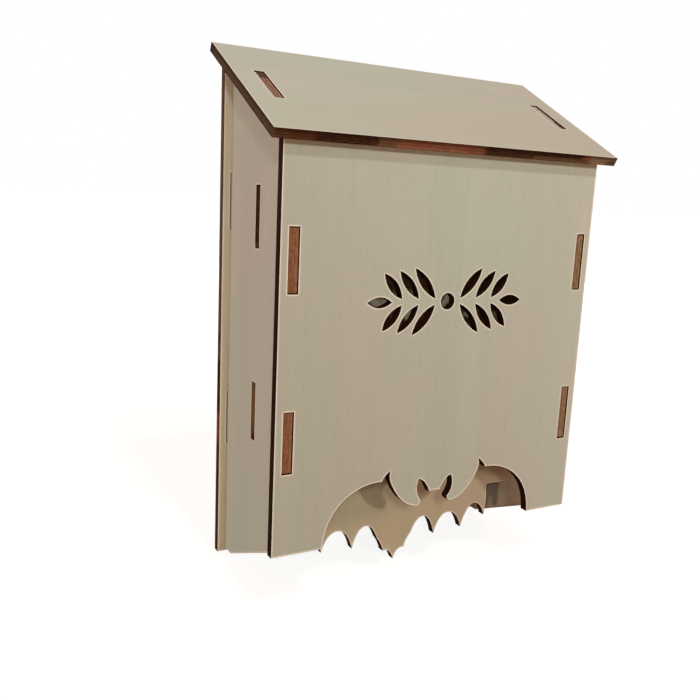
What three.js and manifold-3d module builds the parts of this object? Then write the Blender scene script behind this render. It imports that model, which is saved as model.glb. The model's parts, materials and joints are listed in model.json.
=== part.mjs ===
// A small bat box of thin plywood, cut flat and put together with tabs in slots, which hangs on a wall by its back.
// Lengths are in millimetres: +X is to the viewer's right, +Y is towards the wall and +Z is up.
// The origin is the centre of the back panel's rear face, where the box meets the wall.
import * as THREE from "three";
import { mergeVertices } from "three/addons/utils/BufferGeometryUtils.js";
import Module from "manifold-3d";

const wasm = await Module();
wasm.setup();

// Plywood sheet and its fits
const ply = 2.8; // thickness of every panel
const fitGap = 0.25; // gap all round a tab in its slot, and between panels that meet
const tabLength = 17.5; // length of every tab
const tabRecess = 0.3; // how far a tab's end stands back inside the mouth of its slot
const cutOverrun = 1; // how far a cut runs past each face of the sheet
const curveSteps = 12; // straight steps in each bend of an outline

// Body
const boxWidth = 110; // front and back panels
const boxDepth = 48.8; // front panel's face to back panel's rear face
const frontHeight = 117.05;
const backDrop = 18; // how far the back panel hangs below the front one
const sideInset = 2.7; // front panel's edge to the side panel's outer face
const sideFootDepth = 5.1; // level stretch at the rear of a side panel's bottom edge
const sideFootRise = 1.2; // how far that stretch lies above the back panel's bottom edge

// Roof
const roofPitch = THREE.MathUtils.degToRad(28.6);
const roofFrontOverhang = 2.85; // how far the roof's underside stands out past the front panel's face
const roofBackInset = 1.75; // how far it stops short of the back panel's rear face
const roofSideOverhang = 4.4;

// Tabs, as the height of the middle between two of them and the distance from one to the other
const frontTabMiddle = 59.2;
const frontTabPitch = 51;
const backTabMiddle = 64;
const backTabPitch = 70;
const baffleTabMiddle = 66.2;
const baffleTabPitch = 58.1;

// Baffle
const baffleFront = 21.8; // how far its face lies behind the front panel's face
const baffleShoulder = 2; // height of its straight bottom edge beside the wings
const baffleTopGap = 12; // way left open between its top edge and the roof

// Bat, whose upper outline is cut up into the front panel and whose lower outline ends the baffle
const footWidth = 16.4; // width of each foot that the opening leaves
const batCrest = 21.4; // highest point above the front panel's bottom edge
const batDrop = 20; // lowest point below it

// Leaf garland cut through the front panel
const garlandHeight = 72.8; // its middle line
const berryRadius = 2.4;
const firstLeafReach = 4.6; // middle of the berry to the root of the nearest leaves
const leafPairs = 3;
const leafPitch = 5.8;
const leafLength = 11.5; // longest pair
const leafShortening = 1; // what each pair further out loses
const leafWidth = 3;
const leafLean = THREE.MathUtils.degToRad(50);
const stemBridge = 2; // wood left between an upper and a lower leaf
const endLeafLead = 3.4; // last pair's root to the end leaf's root
const endLeafLength = 8;

// Keyhole in the back panel
const keyholeDrop = 22; // back panel's top edge to the middle of the neck's round end
const keyholeRise = 8; // middle of the head up to the middle of the neck's round end
const keyholeHeadRadius = 4.5;
const keyholeNeckRadius = 2.4;

// Sizes worked out from those above
const sideOuter = boxWidth / 2 - sideInset;
const sideInner = sideOuter - ply;
const sideMiddle = sideOuter - ply / 2;
const slotWidth = ply + 2 * fitGap;
const slotLength = tabLength + 2 * fitGap;
const batHalfSpan = boxWidth / 2 - footWidth;
const roofSeatRise = fitGap / Math.cos(roofPitch);
const roofLength = (boxDepth + roofFrontOverhang - roofBackInset) / Math.cos(roofPitch);
const roofWidth = boxWidth + 2 * roofSideOverhang;
const roofTabMiddle = roofLength / 2;

// Height of the roof's underside at a distance behind the front panel's face.
const roofUnderside = (behind) => frontHeight + roofSeatRise + behind * Math.tan(roofPitch);
const backTop = roofUnderside(boxDepth - ply) - roofSeatRise;
const backMiddle = (backTop - backDrop) / 2;

// The bat's right half, from its middle outwards. Each row bends to an end by way of a control point, and holds
// the control's x and z, then the end's. They are shares of the half span and of the crest or the drop.
const headTopShares = [0, 0.61];
const upperWingShares = [
  [0.026, 0.61, 0.049, 0.589], // crown
  [0.088, 0.776, 0.155, 0.813], // ear
  [0.197, 0.636, 0.127, 0.486],
  [0.127, 0.416, 0.161, 0.402], // neck
  [0.32, 0.43, 0.425, 0.822], // arm
  [0.446, 0.907, 0.43, 1], // thumb
  [0.482, 0.935, 0.503, 0.85],
  [0.674, 0.869, 0.816, 0.682], // wing
  [0.99, 0.444, 1, 0],
];
const tailTipShares = [0, -1];
const lowerWingShares = [
  [0.039, -0.78, 0.109, -0.82], // tail and hind foot
  [0.124, -0.69, 0.176, -0.57],
  [0.233, -0.3, 0.3, -0.31], // scallops between the fingers
  [0.378, -0.32, 0.425, -0.67],
  [0.482, -0.31, 0.575, -0.315],
  [0.674, -0.32, 0.725, -0.64],
  [0.793, -0.23, 0.87, -0.23],
  [0.948, -0.24, 0.99, -0.49],
  [1.02, -0.225, 1, 0], // wing tip
];

// Runs a path along a symmetric outline, in along its left half and out along its right half.
function traceBothHalves(path, startShares, rowShares, height) {
  const place = (x, z) => new THREE.Vector2(x * batHalfSpan, z * height);
  const ends = [place(...startShares), ...rowShares.map((row) => place(row[2], row[3]))];
  const controls = rowShares.map((row) => place(row[0], row[1]));
  path.lineTo(-ends.at(-1).x, ends.at(-1).y);
  for (let i = controls.length - 1; i >= 0; i--) {
    path.quadraticCurveTo(-controls[i].x, controls[i].y, -ends[i].x, ends[i].y);
  }
  controls.forEach((control, i) => {
    path.quadraticCurveTo(control.x, control.y, ends[i + 1].x, ends[i + 1].y);
  });
}

// Outline of a plain rectangle.
function rectangle(left, right, bottom, top) {
  const outline = new THREE.Shape();
  outline.moveTo(left, bottom);
  outline.lineTo(right, bottom);
  outline.lineTo(right, top);
  outline.lineTo(left, top);
  outline.closePath();
  return outline;
}

// Upright slot that lets one tab through a panel, with the gap all round it.
function slotAt(x, y) {
  return rectangle(x - slotWidth / 2, x + slotWidth / 2, y - slotLength / 2, y + slotLength / 2);
}

// Heights of a pair of tabs, and of the slots that take them.
const tabHeights = (middle, pitch) => [middle - pitch / 2, middle + pitch / 2];

// Slots for the side panels' tabs, a pair at each side of a panel that stands across the box.
function sideSlots(middle, pitch) {
  return tabHeights(middle, pitch).flatMap((height) => [
    slotAt(-sideMiddle, height),
    slotAt(sideMiddle, height),
  ]);
}

// Pointed leaf from its root, along a direction, with two bowed sides.
function leafHole(rootX, rootZ, angle, length, mirror) {
  const along = new THREE.Vector2(Math.cos(angle), Math.sin(angle));
  const across = new THREE.Vector2(-along.y, along.x);
  const root = new THREE.Vector2(rootX, rootZ);
  const tip = root.clone().addScaledVector(along, length);
  const middle = root.clone().addScaledVector(along, length / 2);
  const upper = middle.clone().addScaledVector(across, leafWidth);
  const lower = middle.clone().addScaledVector(across, -leafWidth);
  const leaf = new THREE.Shape();
  leaf.moveTo(mirror * root.x, root.y);
  leaf.quadraticCurveTo(mirror * lower.x, lower.y, mirror * tip.x, tip.y);
  leaf.quadraticCurveTo(mirror * upper.x, upper.y, mirror * root.x, root.y);
  return leaf;
}

// Garland of a round berry between two sprays of paired leaves, each spray ended by a single leaf.
function garlandHoles() {
  const berry = new THREE.Shape();
  berry.absarc(0, garlandHeight, berryRadius, 0, 2 * Math.PI);
  const holes = [berry];
  for (const mirror of [-1, 1]) {
    for (let pair = 0; pair < leafPairs; pair++) {
      const root = firstLeafReach + pair * leafPitch;
      const length = leafLength - pair * leafShortening;
      for (const way of [-1, 1]) {
        const rootHeight = garlandHeight + (way * stemBridge) / 2;
        holes.push(leafHole(root, rootHeight, way * leafLean, length, mirror));
      }
    }
    const endRoot = firstLeafReach + (leafPairs - 1) * leafPitch + endLeafLead;
    holes.push(leafHole(endRoot, garlandHeight, 0, endLeafLength, mirror));
  }
  return holes;
}

// Keyhole: a round head that passes a screw's head, with a narrower neck above it that takes the shank.
function keyhole() {
  const neckHeight = backTop - keyholeDrop;
  const headHeight = neckHeight - keyholeRise;
  const meeting = Math.acos(keyholeNeckRadius / keyholeHeadRadius);
  const hole = new THREE.Shape();
  hole.absarc(0, headHeight, keyholeHeadRadius, meeting, Math.PI - meeting, true);
  hole.absarc(0, neckHeight, keyholeNeckRadius, Math.PI, 0, true);
  hole.closePath();
  return hole;
}

// Front panel: two feet beside the bat's upper outline.
function frontOutline() {
  const outline = new THREE.Shape();
  outline.moveTo(-boxWidth / 2, 0);
  traceBothHalves(outline, headTopShares, upperWingShares, batCrest);
  outline.lineTo(boxWidth / 2, 0);
  outline.lineTo(boxWidth / 2, frontHeight);
  outline.lineTo(-boxWidth / 2, frontHeight);
  outline.closePath();
  return outline;
}

// Point on the slope, in distances behind the front panel's face and above its bottom edge: so far up from the
// roof's front edge, and so far above the roof's underside.
function onSlope(upSlope, above) {
  const start = new THREE.Vector2(-roofFrontOverhang, roofUnderside(-roofFrontOverhang));
  const up = new THREE.Vector2(Math.cos(roofPitch), Math.sin(roofPitch));
  const out = new THREE.Vector2(-up.y, up.x);
  return start.addScaledVector(up, upSlope).addScaledVector(out, above);
}

// Side panel, drawn with its depth across and its height up: a slanting bottom edge, two tabs to the rear, one
// through the roof and two to the front.
function sideOutline() {
  const frontEdge = ply + fitGap;
  const backEdge = boxDepth - ply - fitGap;
  const frontTabEnd = tabRecess;
  const backTabEnd = boxDepth - tabRecess;
  const sideFoot = sideFootRise - backDrop;
  const outline = new THREE.Shape();
  outline.moveTo(frontEdge, 0);
  outline.lineTo(backEdge - sideFootDepth, sideFoot);
  outline.lineTo(backEdge, sideFoot);
  for (const height of tabHeights(backTabMiddle, backTabPitch)) {
    outline.lineTo(backEdge, height - tabLength / 2);
    outline.lineTo(backTabEnd, height - tabLength / 2);
    outline.lineTo(backTabEnd, height + tabLength / 2);
    outline.lineTo(backEdge, height + tabLength / 2);
  }
  outline.lineTo(backEdge, roofUnderside(backEdge) - roofSeatRise);
  const topTab = [
    onSlope(roofTabMiddle + tabLength / 2, -fitGap),
    onSlope(roofTabMiddle + tabLength / 2, ply - tabRecess),
    onSlope(roofTabMiddle - tabLength / 2, ply - tabRecess),
    onSlope(roofTabMiddle - tabLength / 2, -fitGap),
  ];
  topTab.forEach((corner) => outline.lineTo(corner.x, corner.y));
  outline.lineTo(frontEdge, roofUnderside(frontEdge) - roofSeatRise);
  for (const height of tabHeights(frontTabMiddle, frontTabPitch).reverse()) {
    outline.lineTo(frontEdge, height + tabLength / 2);
    outline.lineTo(frontTabEnd, height + tabLength / 2);
    outline.lineTo(frontTabEnd, height - tabLength / 2);
    outline.lineTo(frontEdge, height - tabLength / 2);
  }
  outline.closePath();
  return outline;
}

// Baffle: a panel between the sides, with the bat's lower outline at its foot and two tabs into each side.
function baffleOutline() {
  const halfWidth = sideInner - fitGap;
  const tabEnd = sideOuter - tabRecess;
  const top = roofUnderside(baffleFront) - baffleTopGap;
  const heights = tabHeights(baffleTabMiddle, baffleTabPitch);
  const outline = new THREE.Shape();
  outline.moveTo(-halfWidth, baffleShoulder);
  outline.lineTo(-batHalfSpan, baffleShoulder);
  traceBothHalves(outline, tailTipShares, lowerWingShares, batDrop);
  outline.lineTo(batHalfSpan, baffleShoulder);
  outline.lineTo(halfWidth, baffleShoulder);
  for (const height of heights) {
    outline.lineTo(halfWidth, height - tabLength / 2);
    outline.lineTo(tabEnd, height - tabLength / 2);
    outline.lineTo(tabEnd, height + tabLength / 2);
    outline.lineTo(halfWidth, height + tabLength / 2);
  }
  outline.lineTo(halfWidth, top);
  outline.lineTo(-halfWidth, top);
  for (const height of [...heights].reverse()) {
    outline.lineTo(-halfWidth, height + tabLength / 2);
    outline.lineTo(-tabEnd, height + tabLength / 2);
    outline.lineTo(-tabEnd, height - tabLength / 2);
    outline.lineTo(-halfWidth, height - tabLength / 2);
  }
  outline.closePath();
  return outline;
}

// Closed solid of an outline, from one depth to another.
function prism(outline, from, to) {
  const geometry = new THREE.ExtrudeGeometry(outline, {
    depth: to - from,
    bevelEnabled: false,
    curveSegments: curveSteps,
  });
  geometry.translate(0, 0, from);
  geometry.deleteAttribute("normal");
  geometry.deleteAttribute("uv");
  const merged = mergeVertices(geometry);
  return new wasm.Manifold(
    new wasm.Mesh({
      numProp: 3,
      vertProperties: merged.attributes.position.array,
      triVerts: new Uint32Array(merged.index.array),
    }),
  );
}

// One piece of plywood as thick as the sheet, cut to an outline and through at each hole, in its own tone of wood.
function panel(name, tone, outline, holes) {
  const sheet = prism(outline, 0, ply);
  const cut = holes.reduce((rest, hole) => rest.subtract(prism(hole, -cutOverrun, ply + cutOverrun)), sheet);
  const { numProp, vertProperties, triVerts } = cut.getMesh();
  const geometry = new THREE.BufferGeometry();
  geometry.setAttribute("position", new THREE.BufferAttribute(vertProperties, numProp));
  geometry.setIndex(new THREE.BufferAttribute(triVerts, 1));
  const flatShaded = geometry.toNonIndexed();
  flatShaded.computeVertexNormals();
  const wood = new THREE.MeshStandardMaterial({ color: tone, roughness: 0.75, metalness: 0 });
  const mesh = new THREE.Mesh(flatShaded, wood);
  mesh.name = name;
  return mesh;
}

// Stands a panel across the box, with its front face so far behind the front panel's.
function standAcross(mesh, behind) {
  mesh.rotation.x = Math.PI / 2;
  mesh.position.y = behind + ply;
  return mesh;
}

// Stands a panel along the box's depth, with its left face at a place across the box.
function standAlong(mesh, left) {
  mesh.rotation.set(Math.PI / 2, Math.PI / 2, 0);
  mesh.position.x = left;
  return mesh;
}

const frontPanel = panel("front_panel", 0xb0a48f, frontOutline(), [
  ...sideSlots(frontTabMiddle, frontTabPitch),
  ...garlandHoles(),
]);
const bafflePanel = panel("baffle", 0xa08c70, baffleOutline(), []);
const backPanel = panel(
  "back_panel",
  0xa99a80,
  rectangle(-boxWidth / 2, boxWidth / 2, -backDrop, backTop),
  [...sideSlots(backTabMiddle, backTabPitch), keyhole()],
);
const baffleSlots = tabHeights(baffleTabMiddle, baffleTabPitch).map((height) =>
  slotAt(baffleFront + ply / 2, height),
);
const leftPanel = panel("side_panel_left", 0xa59986, sideOutline(), baffleSlots);
const rightPanel = panel("side_panel_right", 0xa59986, sideOutline(), baffleSlots);
const roofPanel = panel(
  "roof_panel",
  0xbbb39f,
  rectangle(-roofWidth / 2, roofWidth / 2, 0, roofLength),
  [slotAt(-sideMiddle, roofTabMiddle), slotAt(sideMiddle, roofTabMiddle)],
);

const body = new THREE.Group();
body.add(standAcross(frontPanel, 0));
body.add(standAcross(bafflePanel, baffleFront));
body.add(standAcross(backPanel, boxDepth - ply));
body.add(standAlong(leftPanel, -sideOuter));
body.add(standAlong(rightPanel, sideInner));

const roof = new THREE.Group();
roof.add(roofPanel);
roof.rotation.x = roofPitch;
roof.position.set(0, -roofFrontOverhang, roofUnderside(-roofFrontOverhang));

const batBox = new THREE.Group();
batBox.add(body, roof);
batBox.position.set(0, -boxDepth, -backMiddle);

export default batBox;
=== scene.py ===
import json

import bpy
import numpy as np
from mathutils import Matrix, Vector
from mathutils.geometry import delaunay_2d_cdt


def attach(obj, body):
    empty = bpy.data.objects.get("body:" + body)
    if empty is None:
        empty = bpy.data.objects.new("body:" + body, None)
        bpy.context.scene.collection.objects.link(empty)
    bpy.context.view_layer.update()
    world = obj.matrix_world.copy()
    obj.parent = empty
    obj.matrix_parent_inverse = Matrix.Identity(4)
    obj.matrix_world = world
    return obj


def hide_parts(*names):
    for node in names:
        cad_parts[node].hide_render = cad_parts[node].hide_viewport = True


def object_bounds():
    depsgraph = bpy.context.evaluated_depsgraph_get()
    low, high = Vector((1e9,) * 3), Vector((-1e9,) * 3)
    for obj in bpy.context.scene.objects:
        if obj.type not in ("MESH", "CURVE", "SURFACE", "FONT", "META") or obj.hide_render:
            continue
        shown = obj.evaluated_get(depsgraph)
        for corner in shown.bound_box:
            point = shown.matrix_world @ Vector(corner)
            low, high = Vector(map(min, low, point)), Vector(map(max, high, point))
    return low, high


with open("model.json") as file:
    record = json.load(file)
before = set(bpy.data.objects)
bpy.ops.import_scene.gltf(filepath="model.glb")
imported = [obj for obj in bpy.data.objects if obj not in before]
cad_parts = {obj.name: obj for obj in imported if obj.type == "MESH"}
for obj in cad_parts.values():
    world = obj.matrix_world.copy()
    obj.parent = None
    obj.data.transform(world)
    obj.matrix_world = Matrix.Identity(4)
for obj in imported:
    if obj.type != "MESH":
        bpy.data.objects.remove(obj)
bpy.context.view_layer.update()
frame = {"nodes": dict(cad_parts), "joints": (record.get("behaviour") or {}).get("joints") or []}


# Back panel
# The flat panel that lies against the wall. A laser cuts it, like the other panels, from pale basswood
# plywood 2.8 mm thick. The side panels' rear tabs are pushed through its four slots, and it hangs on a
# screw by its keyhole.

edge_step = 0.0005  # furthest apart of two columns of points along a cut edge
edge_rounding = 0.0001  # the laser leaves an arris nearly sharp
arris_turns = np.radians([0, 30, 60, 90])
glue_shares = (1 / 3, 2 / 3)  # where the two glue lines lie in the sheet's thickness
glue_groove = 0.00003  # how far a burnt glue line lies behind the plies' edges
glue_half_height = 0.00006
sharpest_bend = np.radians(20)  # more than this is a corner, and less is part of a curve
same_place_decimals = 6  # of a metre: points of the solid that agree so far are one point
scorch_rings = (0.00035, 0.0008, 0.0016, 0.003)  # distances from a cut at which a face has rows of points
ring_clearance_share = 0.97  # of a ring's distance, which its points keep from every other cut
grid_step = 0.006
grid_clearance = 1.5 * scorch_rings[-1]
grid_distance = 2 * scorch_rings[-1]  # stands for the distance from a cut of each point of the grid
net_tolerance = 1e-9
points_at_once = 1000


def walk_round(following, start):
    """Points met on the way round from one back to itself. Each pass doubles the walk, because what comes
    after the walk so far is that same walk, taken as many points further on."""
    walk, jump = np.array([start]), following
    while not (walk[1:] == start).any():
        walk, jump = np.concatenate([walk, jump[walk]]), jump[jump]
    return walk[: 1 + np.argmax(walk[1:] == start)]


def read_sheet(node, right, up):
    """The outlines of a sheet's outer face, flat and with the wood on their left, and the heights of its
    two faces along right x up. An outline's edges are those that only one triangle of that face uses."""
    mesh = frame["nodes"][node].data
    mesh.calc_loop_triangles()
    places = np.empty(len(mesh.vertices) * 3)
    mesh.vertices.foreach_get("co", places)
    triangles = np.empty(len(mesh.loop_triangles) * 3, int)
    mesh.loop_triangles.foreach_get("vertices", triangles)
    flat = places.reshape(-1, 3) @ np.array([right, up, np.cross(right, up)]).T
    rounded = np.round(flat, same_place_decimals)
    _, kept, merged = np.unique(rounded, axis=0, return_index=True, return_inverse=True)
    flat, triangles = flat[kept], merged.ravel()[triangles].reshape(-1, 3)
    outer, inner = flat[:, 2].max(), flat[:, 2].min()
    face = triangles[(flat[triangles, 2] > (outer + inner) / 2).all(1)]
    edges = face[:, [0, 1, 1, 2, 2, 0]].reshape(-1, 2)
    forth = edges @ [len(flat), 1]
    back = edges @ [1, len(flat)]
    rim = edges[~np.isin(forth, back)]
    following = np.zeros(len(flat), int)
    following[rim[:, 0]] = rim[:, 1]
    outlines, left = [], np.unique(rim[:, 0])
    while len(left):
        walk = walk_round(following, left[0])
        outlines.append(flat[walk, :2])
        left = np.setdiff1d(left, walk)
    return outlines, outer, inner


def trace_outline(points):
    """Points along an outline, with their outward offsets and whether each is a corner. Between two points
    of the solid runs a cubic in s, the share of the way between them, which leaves and arrives along the
    mean direction of the edges that meet there, or at a corner along its own. A point's offset is the sum
    of its two unit normals, shortened to the mitre."""
    step = np.roll(points, -1, 0) - points
    length = np.linalg.norm(step, axis=1, keepdims=True)
    way = step / length
    before = np.roll(way, 1, 0)
    corner = (way * before).sum(1) < np.cos(sharpest_bend)
    mean = step + np.roll(step, 1, 0)
    mean /= np.linalg.norm(mean, axis=1, keepdims=True)
    leave = np.where(corner[:, None], way, mean)
    arrive = np.where(np.roll(corner, -1)[:, None], way, np.roll(mean, -1, 0))
    counts = np.ceil(length[:, 0] / edge_step).astype(int)
    part = np.repeat(np.arange(len(points)), counts)
    first = np.repeat(np.cumsum(counts) - counts, counts)
    s = ((np.arange(len(part)) - first) / counts[part])[:, None]
    start, end = points[part], points[part] + step[part]
    out, into = (leave * length)[part], (arrive * length)[part]
    place = (
        (2 * s**3 - 3 * s**2 + 1) * start
        + (s**3 - 2 * s**2 + s) * out
        + (3 * s**2 - 2 * s**3) * end
        + (s**3 - s**2) * into
    )
    along = (6 * s**2 - 6 * s) * (start - end) + (3 * s**2 - 4 * s + 1) * out + (3 * s**2 - 2 * s) * into
    along /= np.linalg.norm(along, axis=1, keepdims=True)
    at_corner = corner[part] & (s[:, 0] == 0)
    came = np.where(at_corner[:, None], before[part], along)
    normals = (along + came) @ np.array([[0, -1], [1, 0]])
    return place, normals / (1 + (along * came).sum(1, keepdims=True)), at_corner


def winding(points):
    """Twice the area inside an outline, which is less than nothing for a hole's."""
    x, y = points.T
    return (x * np.roll(y, -1) - np.roll(x, -1) * y).sum()


def cut_profile(thickness):
    """Inset and depth of a cut edge from its outer face to its inner one: a quarter round at each arris,
    and between the three plies two shallow grooves where the glue has burnt away."""
    arris = np.column_stack([1 - np.sin(arris_turns), 1 - np.cos(arris_turns)]) * edge_rounding
    groove = np.array([[0, -glue_half_height], [glue_groove, 0], [0, glue_half_height]])
    seams = [groove + [0, thickness * share] for share in glue_shares]
    return np.concatenate([arris, *seams, (arris * [1, -1] + [0, thickness])[::-1]])


def inside(points, edges_from, edges_to):
    """Whether each point has wood round it: a line to its right crosses the outlines an odd number of
    times. They are tested so many at once, to spare memory."""
    step = edges_to - edges_from
    answers = []
    for some in np.array_split(points, 1 + len(points) // points_at_once):
        y = some[:, 1, None]
        spans = (edges_from[:, 1] > y) != (edges_to[:, 1] > y)
        rise = np.where(spans, step[:, 1], 1)
        crossing = edges_from[:, 0] + (y - edges_from[:, 1]) * step[:, 0] / rise
        answers.append((spans & (crossing > some[:, 0, None])).sum(1) % 2 == 1)
    return np.concatenate(answers)


def off_the_cut(points, outline):
    """Each point's distance from the nearest point of the outlines."""
    return np.linalg.norm(points[:, None] - outline[None], axis=2).min(1)


def face_points(outline, offsets, following):
    """Points inside a face and their distances from the nearest cut. Rows of them stand off from the
    outlines at the distances of the scorch rings, each a step of its own distance apart, and a square grid
    fills the rest."""
    kept, distances = [], []
    reach = np.linalg.norm(offsets, axis=1, keepdims=True)
    for ring in scorch_rings:
        chosen = slice(None, None, max(1, int(ring / edge_step)))
        row = outline[chosen] - ring * offsets[chosen] / reach[chosen]
        row = row[off_the_cut(row, outline) > ring_clearance_share * ring]
        kept.append(row)
        distances.append(np.full(len(row), ring))
    lines = [np.arange(low, high, grid_step) for low, high in zip(outline.min(0), outline.max(0))]
    grid = np.stack(np.meshgrid(*lines), -1).reshape(-1, 2)
    clear = off_the_cut(grid, outline) > grid_clearance
    grid = grid[clear & inside(grid, outline, outline[following])]
    kept.append(grid)
    distances.append(np.full(len(grid), grid_distance))
    return np.concatenate(kept), np.concatenate(distances)


def face_net(points, columns, following, node):
    """Triangles between a face's points, the first of which are its outlines'. The net joins near points
    and keeps the outlines as its edges, and the triangles outside the wood are left out."""
    rims = np.column_stack([np.arange(columns), following])
    net = delaunay_2d_cdt(points.tolist(), rims.tolist(), [], 0, net_tolerance, True)
    assert len(net[0]) == len(points), "the inset outlines of " + node + " cross"
    own_point = np.array([ids[0] for ids in net[3]])
    triangles = own_point[np.array(net[2])]
    return triangles[inside(points[triangles].mean(1), points[:columns], points[following])]


def lay_mesh(name, places, loops, counts):
    """A mesh from its points, the corners of its polygons in turn, and the number of corners of each. Those
    with four are the cut edge's, which is shaded smooth and has the second material."""
    mesh = bpy.data.meshes.new(name)
    mesh.vertices.add(len(places))
    mesh.vertices.foreach_set("co", places.ravel())
    mesh.loops.add(len(loops))
    mesh.loops.foreach_set("vertex_index", loops)
    mesh.polygons.add(len(counts))
    mesh.polygons.foreach_set("loop_start", np.cumsum(counts) - counts)
    mesh.polygons.foreach_set("use_smooth", counts == 4)
    mesh.polygons.foreach_set("material_index", (counts == 4).astype(np.int32))
    mesh.update(calc_edges=True)
    return mesh


def keep_corners(mesh, rows, corners):
    """Keep an outline's corners sharp: the edges that run down the cut within a corner's column."""
    ends = np.empty(len(mesh.edges) * 2, int)
    mesh.edges.foreach_get("vertices", ends)
    ends = ends.reshape(-1, 2)
    on_wall = (ends < len(corners) * rows).all(1)
    column = np.minimum(ends // rows, len(corners) - 1)
    sharp = on_wall & (column[:, 0] == column[:, 1]) & corners[column[:, 0]]
    mesh.attributes.new("sharp_edge", "BOOLEAN", "EDGE").data.foreach_set("value", sharp)


def cut_panel(name, node, right, up, body, face, edge, snugness):
    """A panel as the laser leaves it, from the outlines of its solid. Its cut edges are one profile carried
    along every outline, and each face is a flat net of triangles between the outlines' inset rows. Its tab
    slots, the holes with four corners, are drawn tighter round their tabs than the solid's, by a snugness
    across and along. The edge's map is the distance along the cut and down it, and the face's is its flat
    place."""
    outlines, outer, inner = read_sheet(node, right, up)
    traced = [trace_outline(points) for points in outlines]
    slots = [len(points) == 4 and winding(points) < 0 for points in outlines]
    sizes = [len(part[0]) for part in traced]
    outline, offsets, corners = (np.concatenate(part) for part in zip(*traced))
    outline += offsets * snugness * np.repeat(slots, sizes)[:, None]
    columns = len(outline)
    starts = np.cumsum(sizes) - sizes
    following = np.concatenate([np.roll(np.arange(n), -1) + start for n, start in zip(sizes, starts)])
    profile = cut_profile(outer - inner)
    rows = len(profile)

    wall = outline[:, None] - offsets[:, None] * profile[None, :, :1]
    wall = np.dstack([wall, np.broadcast_to(outer - profile[:, 1], (columns, rows))])
    filling, distances = face_points(outline, offsets, following)
    triangles = face_net(np.concatenate([wall[:, 0, :2], filling]), columns, following, node)
    heights = np.repeat([outer, inner], len(filling))
    faces = np.column_stack([np.tile(filling, (2, 1)), heights])
    points = np.concatenate([wall.reshape(-1, 3), faces])
    places = points @ np.array([right, up, np.cross(right, up)])

    column, row = np.divmod(np.arange(columns * (rows - 1)), rows - 1)
    here, there = column * rows + row, following[column] * rows + row
    quads = np.column_stack([here, here + 1, there + 1, there])
    rim = np.arange(columns) * rows
    front_filling = columns * rows + np.arange(len(filling))
    front = np.concatenate([rim, front_filling])[triangles]
    rear = np.concatenate([rim + rows - 1, front_filling + len(filling)])[triangles[:, ::-1]]
    loops = np.concatenate([quads.ravel(), front.ravel(), rear.ravel()])
    counts = np.concatenate([np.full(len(quads), 4), np.full(2 * len(triangles), 3)])
    mesh = lay_mesh(name, places, loops, counts)
    keep_corners(mesh, rows, corners)

    steps = np.linalg.norm(outline[following] - outline, axis=1)
    travelled = np.concatenate([[0], np.cumsum(steps)])
    u = travelled[np.column_stack([column, column, column + 1, column + 1])]
    v = profile[np.column_stack([row, row + 1, row + 1, row]), 1]
    edge_map = np.stack([u, v], -1).reshape(-1, 2)
    face_map = points[loops[quads.size :], :2]
    sheet_map = np.concatenate([edge_map, face_map])
    mesh.uv_layers.new(name="sheet").data.foreach_set("uv", sheet_map.ravel())
    stand_off = np.concatenate([np.zeros(columns * rows), distances, distances])
    mesh.attributes.new("from_cut", "FLOAT", "POINT").data.foreach_set("value", stand_off)
    depth = (outer - points[:, 2]) / (outer - inner)
    mesh.attributes.new("depth_share", "FLOAT", "POINT").data.foreach_set("value", depth)
    mesh.validate()

    panel = bpy.data.objects.new(name, mesh)
    bpy.context.scene.collection.objects.link(panel)
    mesh.materials.append(face)
    mesh.materials.append(edge)
    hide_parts(node)
    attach(panel, body)


def paint(red, green, blue):
    """A screen colour of 0 to 255 as the light it stands for, by the curve that screens follow."""
    share = np.array([red, green, blue]) / 255
    light = np.where(share <= 0.04045, share / 12.92, ((share + 0.055) / 1.055) ** 2.4)
    return (*light, 1)


def add(tree, kind, feeds=None, **settings):
    """A shader node with its settings, whose inputs are fed by sockets or hold plain values."""
    node = tree.nodes.new("ShaderNode" + kind)
    for name, value in settings.items():
        setattr(node, name, value)
    for name, value in (feeds or {}).items():
        if isinstance(value, bpy.types.NodeSocket):
            tree.links.new(value, node.inputs[name])
        else:
            node.inputs[name].default_value = value
    return node


def ease(tree, value, span, onto=(0.0, 1.0)):
    """A value's span eased onto another span, from start to end, and held at both ends."""
    feeds = {"Value": value}
    feeds["From Min"], feeds["From Max"] = span
    feeds["To Min"], feeds["To Max"] = onto
    return add(tree, "MapRange", feeds, interpolation_type="SMOOTHSTEP").outputs["Result"]


def combine(tree, kind, first, second=0.0):
    """Two values put together by a kind of arithmetic."""
    return add(tree, "Math", {0: first, 1: second}, operation=kind).outputs[0]


def times(tree, first, *others):
    """The product of values."""
    for other in others:
        first = combine(tree, "MULTIPLY", first, other)
    return first


def gap(tree, first, second):
    """How far apart two values are."""
    return combine(tree, "ABSOLUTE", combine(tree, "SUBTRACT", first, second))


def mix(tree, factor, first, second, kind="MIX"):
    """Two colours blended by a factor."""
    feeds = {0: factor, 6: first, 7: second}
    return add(tree, "Mix", feeds, data_type="RGBA", blend_type=kind).outputs[2]


def cloud(tree, place, width, detail=2.0, roughness=0.5, distortion=0.0):
    """Soft noise whose patches are about as wide as a width, in metres of the place that it reads."""
    feeds = {
        "Vector": place,
        "Scale": 1 / width,
        "Detail": detail,
        "Roughness": roughness,
        "Distortion": distortion,
    }
    return add(tree, "TexNoise", feeds).outputs["Fac"]


def stretched(tree, place, scale, shift):
    """A place moved and then scaled along each axis. A small scale draws a pattern out that way."""
    return add(tree, "Mapping", {"Vector": place, "Location": shift, "Scale": scale}).outputs["Vector"]


def attribute(tree, name):
    """A value that the mesh carries at its points."""
    return add(tree, "Attribute", attribute_name=name).outputs["Fac"]


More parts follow.
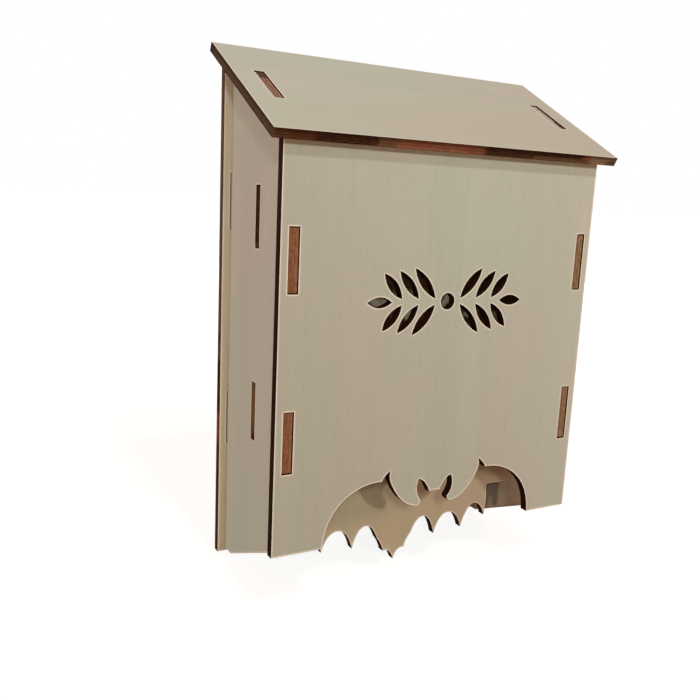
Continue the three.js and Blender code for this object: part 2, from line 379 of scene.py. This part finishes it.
def start_material(name):
    """A material with only its surface shader and output, its tree and that shader."""
    material = bpy.data.materials.new(name)
    material.use_nodes = True
    tree = material.node_tree
    tree.nodes.clear()
    shader = add(tree, "BsdfPrincipled")
    add(tree, "OutputMaterial", {"Surface": shader.outputs[0]})
    return material, tree, shader


def finish_shader(tree, shader, colour, roughness, gloss, relief, strength, depth):
    """The surface's colour, roughness and gloss, and its relief as a bump of a depth in metres."""
    bump = add(tree, "Bump", {"Height": relief, "Strength": strength, "Distance": depth})
    tree.links.new(colour, shader.inputs["Base Color"])
    tree.links.new(roughness, shader.inputs["Roughness"])
    tree.links.new(bump.outputs["Normal"], shader.inputs["Normal"])
    shader.inputs["Specular IOR Level"].default_value = gloss


noise_span = (0.3, 0.7)  # nearly all the values of a noise lie between these
tone_span = (-0.07, 0.07)  # the distances across the panel at which its two tones are reached
greenish, pinkish = (0.975, 1.012, 0.995, 1), (1.025, 0.985, 1.0, 1)
blotch_width, blotch_share, blotch_span = 0.03, 0.6, (0.35, 0.65)  # across the grain, and squeezed along it
band_width, band_share, band_shades = 0.014, 0.05, (0.98, 1.015)
ring_width, ring_share, ring_shades = 0.03, 0.05, (0.99, 1.008)
ring_turns = 90.0  # radians that a growth ring's wave turns over the whole of its noise
fibre_width, fibre_share, fibre_shades = 0.0006, 0.03, (0.98, 1.02)
pore_width, pore_share, pore_shades = 0.00035, 0.09, (1.0, 0.88)
pore_span, pore_relief_share = (0.66, 0.8), 0.6


def veneer(tree, place, tones, way, grain, shift):
    """The colour, fibres and relief of sanded basswood. Its tone drifts from the first to the second along
    a way across the panel, under greenish and pinkish blotches. Soft bands, a wave of a drawn-out noise as
    growth rings, fine fibres and short pores run along the grain."""

    def along_grain(width, share, **kind):
        """Soft noise of a width across the grain, whose place is squeezed to a share along it."""
        scale = [share if part else 1 for part in grain]
        return cloud(tree, stretched(tree, place, scale, shift), width, **kind)

    blotches = along_grain(blotch_width, blotch_share, detail=3.0)
    bands = along_grain(band_width, band_share, detail=3.0, distortion=0.3)
    rings = along_grain(ring_width, ring_share, detail=1.0, roughness=0.4, distortion=0.6)
    fibres = along_grain(fibre_width, fibre_share, detail=4.0, roughness=0.7)
    pores = along_grain(pore_width, pore_share, detail=1.0)

    across = add(tree, "VectorMath", {0: place, 1: way}, operation="DOT_PRODUCT").outputs["Value"]
    tone = mix(tree, ease(tree, across, tone_span), *tones)
    tint = mix(tree, ease(tree, blotches, blotch_span), greenish, pinkish)
    colour = mix(tree, 1.0, tone, tint, "MULTIPLY")
    wave = combine(tree, "SINE", times(tree, rings, ring_turns))
    pits = ease(tree, pores, pore_span, pore_shades)
    shade = times(
        tree,
        ease(tree, bands, noise_span, band_shades),
        ease(tree, wave, (-1.0, 1.0), ring_shades),
        ease(tree, fibres, noise_span, fibre_shades),
        pits,
    )
    grey = add(tree, "CombineColor", {0: shade, 1: shade, 2: shade}).outputs[0]
    colour = mix(tree, 1.0, colour, grey, "MULTIPLY")
    return colour, fibres, combine(tree, "ADD", fibres, times(tree, pits, pore_relief_share))


outer_to_inner = (0.4, 0.6)  # shares of the depth between which the outer face's finish gives way
rim_colour, rim_strength = paint(236, 219, 198), 0.85
rim_span = (0.0001, 0.0007)
smoke_colour, smoke_strength = paint(112, 78, 48), 0.6
smoke_reach = 0.0016
smoke_wander = (0.5, 1.4)  # shares of its reach between which the smoke's width wanders
smoke_patch = 0.006
haze_colour, haze_strength = paint(184, 146, 118), 0.5


def singed(tree, colour, place):
    """A face's colour near its cuts. A pale rim follows each cut of the outer face, and the laser's brown
    smoke follows those of the inner face and lies as a thin brown haze all over that face."""
    from_cut = attribute(tree, "from_cut")
    depth = attribute(tree, "depth_share")
    outside = ease(tree, depth, outer_to_inner, (1.0, 0.0))
    rim = times(tree, outside, ease(tree, from_cut, rim_span, (rim_strength, 0.0)))
    colour = mix(tree, rim, colour, rim_colour)
    wander = ease(tree, cloud(tree, place, smoke_patch, detail=3.0), noise_span, smoke_wander)
    near = combine(tree, "DIVIDE", from_cut, times(tree, wander, smoke_reach))
    beside = ease(tree, near, (0.0, 1.0), (smoke_strength, 0.0))
    smoke = times(tree, beside, ease(tree, depth, outer_to_inner))
    colour = mix(tree, smoke, colour, smoke_colour)
    haze = ease(tree, depth, outer_to_inner, (0.0, haze_strength))
    return mix(tree, haze, colour, haze_colour)


# painted shade: a brown line along a side panel's rear edge, for the shadow in its gap at the back panel
shade_line_colour, shade_line_strength = paint(122, 100, 76), 0.45
shade_line_blur = 0.0002
veneer_roughness, veneer_gloss = (0.62, 0.74), 0.25
veneer_bump, veneer_relief = 0.25, 0.00004


def plywood_face(name, tones, way, grain, shift, shade_line=None):
    """Sanded veneer with a pale rim along its outer cuts and the laser's smoke. A shift moves the whole
    pattern, so that no two panels look alike. A shade_line is the place along Y behind which painted
    shade browns the veneer, for the shadow in the gap where the panel meets the back one."""
    material, tree, shader = start_material(name)
    place = add(tree, "TexCoord").outputs["Object"]
    colour, fibres, relief = veneer(tree, place, tones, way, grain, shift)
    colour = singed(tree, colour, place)
    # painted shade: the veneer behind this place along Y is darkened, for the shadow in the gap at the back
    # panel
    if shade_line is not None:
        rearward = add(tree, "SeparateXYZ", {0: place}).outputs["Y"]
        painted_shade = ease(tree, rearward, (shade_line - shade_line_blur, shade_line + shade_line_blur), (0.0, shade_line_strength))
        colour = mix(tree, painted_shade, colour, shade_line_colour)
    roughness = ease(tree, fibres, noise_span, veneer_roughness)
    finish_shader(tree, shader, colour, roughness, veneer_gloss, relief, veneer_bump, veneer_relief)
    return material


through = (-0.1, 1.1)  # the whole thickness of the sheet and a little more
along_blur, depth_blur = 0.001, 0.04
ragged = (-0.001, 0.001)
cover_shares = (1.0, 0.75)


def covered(tree, along, depth, flecks, ends, depths):
    """How far a stretch of a cut edge covers a place there: fully between its two ends and its two depths,
    with blurred limits, and less on the flecks."""
    cover = ease(tree, flecks, noise_span, cover_shares)
    for value, (low, high), blur in ((along, ends, along_blur), (depth, depths, depth_blur)):
        cover = times(
            tree,
            cover,
            ease(tree, value, (low - blur, low + blur)),
            ease(tree, value, (high - blur, high + blur), (1.0, 0.0)),
        )
    return cover


outer_glue, inner_glue = (0.31, 0.35), (0.65, 0.69)  # where one ply's colour gives way to the next
glue_colour, glue_strength, glue_reach = paint(52, 30, 17), 0.6, 0.035
fleck_width, fleck_stretch, fleck_span = 0.0007, (0.35, 1, 1), (0.35, 0.7)
fleck_colour, fleck_strength, fleck_relief_share = paint(84, 50, 28), 0.45, 0.5
score_width, score_stretch, score_span = 0.0003, (1, 0.08, 1), (0.45, 0.75)
score_colour, score_strength = paint(66, 38, 22), 0.35
char = paint(36, 20, 8)
soot_width, soot_stretch, soot_depth = 0.02, (1, 1.2, 1), (0.0, 0.6)
edge_roughness, edge_gloss = (0.66, 0.8), 0.03
edge_bump, edge_relief = 0.5, 0.00008


def scorched_edge(name, plies, soot, top_soot, shift, stretches=()):
    """A cut edge burnt by the laser. Its three plies are brown, with darker glue between them and fine
    scores from face to face. Soot covers patches of it, the more the lower its two limits are, and more of
    the outer ply. Each stretch is where it begins and ends, in metres along the cut from its lowest corner
    on the left, its colour, and the shares of the sheet's thickness between which it lies."""
    material, tree, shader = start_material(name)
    sheet = add(tree, "UVMap", uv_map="sheet").outputs["UV"]
    depth = attribute(tree, "depth_share")
    scores = cloud(tree, stretched(tree, sheet, score_stretch, shift), score_width, roughness=0.6)
    flecks = cloud(tree, stretched(tree, sheet, fleck_stretch, shift), fleck_width, roughness=0.6)
    patches = stretched(tree, sheet, soot_stretch, shift)
    patches = cloud(tree, patches, soot_width, detail=3.0, roughness=0.55)
    outer_ply, core, inner_ply = plies
    colour = mix(tree, ease(tree, depth, outer_glue), outer_ply, core)
    colour = mix(tree, ease(tree, depth, inner_glue), colour, inner_ply)
    colour = mix(tree, ease(tree, flecks, fleck_span, (0.0, fleck_strength)), colour, fleck_colour)
    along = add(tree, "SeparateXYZ", {0: sheet}).outputs["X"]
    along = combine(tree, "ADD", along, ease(tree, flecks, noise_span, ragged))
    for begins, ends, own_colour, *depths in stretches:
        cover = covered(tree, along, depth, flecks, (begins, ends), depths)
        colour = mix(tree, cover, colour, own_colour)
    from_glue = gap(tree, gap(tree, depth, 1 / 2), 1 / 2 - glue_shares[0])
    colour = mix(tree, ease(tree, from_glue, (0.0, glue_reach), (glue_strength, 0.0)), colour, glue_colour)
    colour = mix(tree, ease(tree, scores, score_span, (0.0, score_strength)), colour, score_colour)
    outer_soot = ease(tree, depth, soot_depth, (top_soot, 0.0))
    colour = mix(tree, combine(tree, "MAXIMUM", ease(tree, patches, soot), outer_soot), colour, char)
    relief = combine(tree, "ADD", scores, times(tree, flecks, fleck_relief_share))
    roughness = ease(tree, patches, noise_span, edge_roughness)
    finish_shader(tree, shader, colour, roughness, edge_gloss, relief, edge_bump, edge_relief)
    return material


upright, sideways = (0, 0, 1), (1, 0, 0)
back_tones = (paint(187, 176, 145), paint(194, 186, 162))
burnt_plies = (paint(128, 76, 54), paint(124, 76, 54), paint(138, 90, 66))
back_stretches = (  # all down its left edge, from the top
    (0.38, 0.474, paint(94, 84, 70), *through),
    (0.474, 0.492, char, *through),
    (0.492, 0.502, paint(122, 72, 52), *through),
    (0.502, 0.54, paint(50, 36, 22), *through),
)
cut_panel(
    name="back_sheet",
    node="back_panel",
    right=sideways,
    up=upright,
    body="box",
    face=plywood_face("back_face", back_tones, way=upright, grain=upright, shift=(0.3, 0.1, 0.2)),
    edge=scorched_edge(
        "back_edge",
        burnt_plies,
        soot=(0.5, 0.7),
        top_soot=0.4,
        shift=(0.2, 0.1, 0),
        stretches=back_stretches,
    ),
    snugness=(0.0, 0.0002),
)


# Side panels
# Basswood plywood, one at each side, with two tabs through the front panel, two through the back one and
# one up through the roof. The baffle's tabs are pushed out through two slots in each.

side_tones = (paint(179, 183, 166), paint(186, 181, 166))
# where the side panels' painted shade begins, for the shadow in the gap at the back panel
side_shade_line = -0.0038
light_soot, bare_top = (0.6, 0.8), 0.0
left_plies = (paint(142, 94, 60), paint(142, 92, 62), paint(144, 100, 72))
right_plies = (paint(150, 118, 84), paint(152, 120, 88), paint(146, 112, 82))
left_tab_stretches = (  # the end of the tab that stands in the roof: pale plies and dark glue
    (0.2305, 0.2505, paint(168, 128, 106), *through),
    (0.2305, 0.2505, paint(182, 160, 136), -0.1, 0.22),
    (0.2305, 0.2505, paint(50, 30, 20), 0.28, 0.38),
    (0.2305, 0.2505, paint(50, 30, 20), 0.62, 0.72),
    (0.245, 0.2505, paint(66, 54, 40), 0.2, 1.1),
)
left_slot_stretches = (  # the walls of the lower slot, and then of the upper one
    (0.4, 0.442, paint(104, 88, 66), *through),
    (0.443, 0.486, paint(26, 22, 12), *through),
)
right_stretches = (  # the end of its tab in the roof
    (0.263, 0.2835, paint(196, 185, 164), *through),
    (0.263, 0.2835, paint(52, 38, 22), -0.1, 0.22),
    (0.276, 0.2835, paint(44, 30, 16), -0.1, 0.42),
)
left_stretches = left_tab_stretches + left_slot_stretches
for side, outward_right, plies, stretches, shift in (
    ("left", (0, -1, 0), left_plies, left_stretches, (0.7, 0.5, 0.1)),
    ("right", (0, 1, 0), right_plies, right_stretches, (0.4, 0.9, 0.6)),
):
    sheet_name = side + "_side_sheet"
    cut_panel(
        name=sheet_name,
        node="side_panel_" + side,
        right=outward_right,
        up=upright,
        body="box",
        face=plywood_face(sheet_name + "_face", side_tones, upright, upright, shift, side_shade_line),
        edge=scorched_edge(sheet_name + "_edge", plies, light_soot, bare_top, shift, stretches),
        snugness=(0.00015, 0.0),
    )


# Baffle
# The inner plywood panel at about half depth, which parts the two roosting chambers. Its foot is cut to the
# lower half of a bat and hangs below the front panel's opening, and its tabs sit in the side panels' slots.

baffle_tones = (paint(190, 173, 141), paint(194, 175, 144))
baffle_stretches = (  # the bat's lower edge, the end of the upper left tab, and that of the lower left one
    (0.0398, 0.1945, char, *through),
    (0.4435, 0.4655, paint(18, 16, 8), *through),
    (0.509, 0.5125, paint(84, 72, 52), *through),
    (0.5125, 0.5217, paint(108, 84, 60), *through),
    (0.5217, 0.525, paint(84, 72, 52), *through),
    (0.525, 0.5285, char, *through),
)
cut_panel(
    name="baffle_sheet",
    node="baffle",
    right=sideways,
    up=upright,
    body="box",
    face=plywood_face("baffle_face", baffle_tones, way=upright, grain=upright, shift=(0.5, 0.2, 0.8)),
    edge=scorched_edge(
        "baffle_edge",
        left_plies,
        light_soot,
        bare_top,
        shift=(0.6, 0.3, 0),
        stretches=baffle_stretches,
    ),
    snugness=(0.0, 0.0),
)


# Front panel
# The plywood panel that shows, pushed onto the side panels' front tabs. The laser has cut a garland of
# leaves through its middle, and the upper half of the bat up from its bottom edge, which leaves a foot at
# each side.

front_tones = (paint(170, 163, 144), paint(185, 183, 162))
front_way = (0.9, 0, 0.45)  # it is paler up and to the right and darker towards the lower left
front_stretches = ((0.401, 0.5185, char, *through),)  # its whole left edge
cut_panel(
    name="front_sheet",
    node="front_panel",
    right=sideways,
    up=upright,
    body="box",
    face=plywood_face("front_face", front_tones, front_way, grain=upright, shift=(0.1, 0.4, 0.3)),
    edge=scorched_edge(
        "front_edge",
        burnt_plies,
        soot=(0.2, 0.45),
        top_soot=0.5,
        shift=(0.1, 0.7, 0),
        stretches=front_stretches,
    ),
    snugness=(0.00012, 0.0),
)


# Roof
# A sloping plywood sheet that lies on the side panels and on the front and back panels' top edges. Its two
# slots drop over the side panels' top tabs, and it lifts off square to its slope.

lift = np.array(frame["joints"][0]["axis"])
roof_tones = (paint(191, 181, 159), paint(188, 194, 175))
roof_way = (-0.3, 1, 0)  # its tone drifts back and a little to the left
roof_plies = (paint(141, 82, 57), paint(137, 82, 57), paint(150, 96, 70))
roof_front_stretches = (  # its front edge, from left to right
    (0.0, 0.0038, paint(64, 47, 30), *through),
    (0.0038, 0.0109, paint(68, 38, 20), *through),
    (0.0109, 0.0308, char, *through),
    (0.0308, 0.0363, paint(102, 73, 50), *through),
    (0.06, 0.0665, paint(124, 74, 52), *through),
    (0.0665, 0.1045, char, -0.1, 0.55),
    (0.0665, 0.085, paint(46, 30, 16), 0.55, 1.1),
    (0.085, 0.1075, paint(88, 68, 46), 0.55, 1.1),
    (0.1075, 0.1188, paint(138, 112, 86), *through),
)
roof_left_stretches = (  # its left edge, from the rear
    (0.293, 0.353, paint(78, 66, 46), *through),
    (0.293, 0.353, paint(56, 44, 30), 0.8, 1.1),
    (0.293, 0.2985, paint(48, 42, 36), *through),
)
roof_stretches = roof_front_stretches + roof_left_stretches
cut_panel(
    name="roof_sheet",
    node="roof_panel",
    right=sideways,
    up=tuple(np.cross(lift, sideways)),
    body="roof",
    face=plywood_face("roof_face", roof_tones, roof_way, grain=sideways, shift=(0.9, 0.3, 0.5)),
    edge=scorched_edge(
        "roof_edge",
        roof_plies,
        light_soot,
        top_soot=0.7,
        shift=(0.35, 0.2, 0),
        stretches=roof_stretches,
    ),
    snugness=(0.00012, 0.0),
)


# Floor and surround
# A plain floor level with the lowest point of the box, and a surround that the camera sees as white. The
# floor looks white some way off, and a little darker round the box, where its shadow shows.

floor_colour, floor_roughness = paint(178, 150, 132), 0.9
floor_glow_colour = (0.96, 1.0, 1.005, 1)
glow_span, glow_strengths = (0.15, 0.6), (0.86, 1.02)
floor_reach = 30.0
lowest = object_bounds()[0].z
corners = [(x * floor_reach, y * floor_reach, lowest) for x, y in ((-1, -1), (1, -1), (1, 1), (-1, 1))]
floor_mesh = bpy.data.meshes.new("floor")
floor_mesh.from_pydata(corners, [], [(0, 1, 2, 3)])
floor = bpy.data.objects.new("floor", floor_mesh)
bpy.context.scene.collection.objects.link(floor)
floor_paint, tree, shader = start_material("floor_paint")
shader.inputs["Base Color"].default_value = floor_colour
shader.inputs["Roughness"].default_value = floor_roughness
shader.inputs["Specular IOR Level"].default_value = 0.0
shader.inputs["Emission Color"].default_value = floor_glow_colour
seen = add(tree, "LightPath").outputs["Is Camera Ray"]
place = add(tree, "TexCoord").outputs["Object"]
away = add(tree, "VectorMath", {0: place}, operation="LENGTH").outputs["Value"]
glow = ease(tree, away, glow_span, glow_strengths)
tree.links.new(times(tree, seen, glow), shader.inputs["Emission Strength"])
floor_mesh.materials.append(floor_paint)

faint_warmth, white = (0.2, 0.085, 0.062, 1), (1, 1, 1, 1)
world = bpy.data.worlds.new("surround")
bpy.context.scene.world = world
world.use_nodes = True
tree = world.node_tree
tree.nodes.clear()
rays = add(tree, "LightPath").outputs
seen = combine(tree, "MAXIMUM", rays["Is Camera Ray"], rays["Is Glossy Ray"])
seen = combine(tree, "MAXIMUM", seen, rays["Is Transmission Ray"])
shown = mix(tree, seen, faint_warmth, white)
surround = add(tree, "Background", {"Color": shown, "Strength": 1.0})
add(tree, "OutputWorld", {"Surface": surround.outputs[0]})


# Lamps
# Six square soft lamps: three in front, one of them high up, one at the left, one low down there, and one
# behind. All are turned to the middle of the box, from a little more than a metre away.

box_middle = Vector((0, -0.025, 0))


def lamp(name, bearing, height, distance, size, power, colour=(1, 1, 1)):
    """A square soft lamp that faces the box from a distance. Its bearing and height are angles in degrees,
    counted from straight in front towards the left, and up from the level."""
    turn, rise = np.radians(bearing), np.radians(height)
    towards = Vector((-np.sin(turn) * np.cos(rise), -np.cos(turn) * np.cos(rise), np.sin(rise)))
    light = bpy.data.lights.new(name, "AREA")
    light.shape = "SQUARE"
    light.size = size
    light.energy = power
    light.color = colour
    made = bpy.data.objects.new(name, light)
    bpy.context.scene.collection.objects.link(made)
    made.location = box_middle + towards * distance
    made.rotation_euler = towards.to_track_quat("Z", "Y").to_euler()


cool, cooler, coolest = (0.9, 0.985, 1.0), (0.88, 1.0, 1.06), (0.93, 1.06, 1.11)
warm = (1.0, 0.78, 0.67)
lamp("front_lamp", bearing=3, height=21, distance=1.2, size=0.06, power=3.55, colour=cool)
lamp("high_lamp", bearing=3, height=53, distance=1.2, size=0.1, power=4.2, colour=cooler)
lamp("left_lamp", bearing=27, height=21.5, distance=1.2, size=0.12, power=3.7, colour=cool)
lamp("side_lamp", bearing=84, height=12, distance=1.1, size=0.5, power=2.6, colour=coolest)
lamp("low_lamp", bearing=60, height=1, distance=1.1, size=0.12, power=2.8, colour=warm)
lamp("rear_lamp", bearing=215, height=2, distance=1.1, size=0.5, power=8.5)


# Camera
# It stands where the photograph was taken from: close in front of the box, to its left and a little above
# its middle.

camera_place = Vector((-0.13739, -0.24073, 0.03979))
camera_ahead = Vector((0.47063, 0.86161, -0.19011)).normalized()
camera_roll = np.radians(2.727)
camera_data = bpy.data.cameras.new("camera")
camera_data.sensor_width = 36
camera_data.lens = 40.375
camera_data.clip_start = 0.01
camera = bpy.data.objects.new("camera", camera_data)
bpy.context.scene.collection.objects.link(camera)
level = camera_ahead.cross(Vector((0, 0, 1))).normalized()
above = level.cross(camera_ahead)
across = level * np.cos(camera_roll) + above * np.sin(camera_roll)
above = across.cross(camera_ahead)
turned = Matrix((across, above, -camera_ahead)).transposed().to_4x4()
camera.matrix_world = Matrix.Translation(camera_place) @ turned
bpy.context.scene.camera = camera
bpy.context.scene.view_settings.view_transform = "Standard"
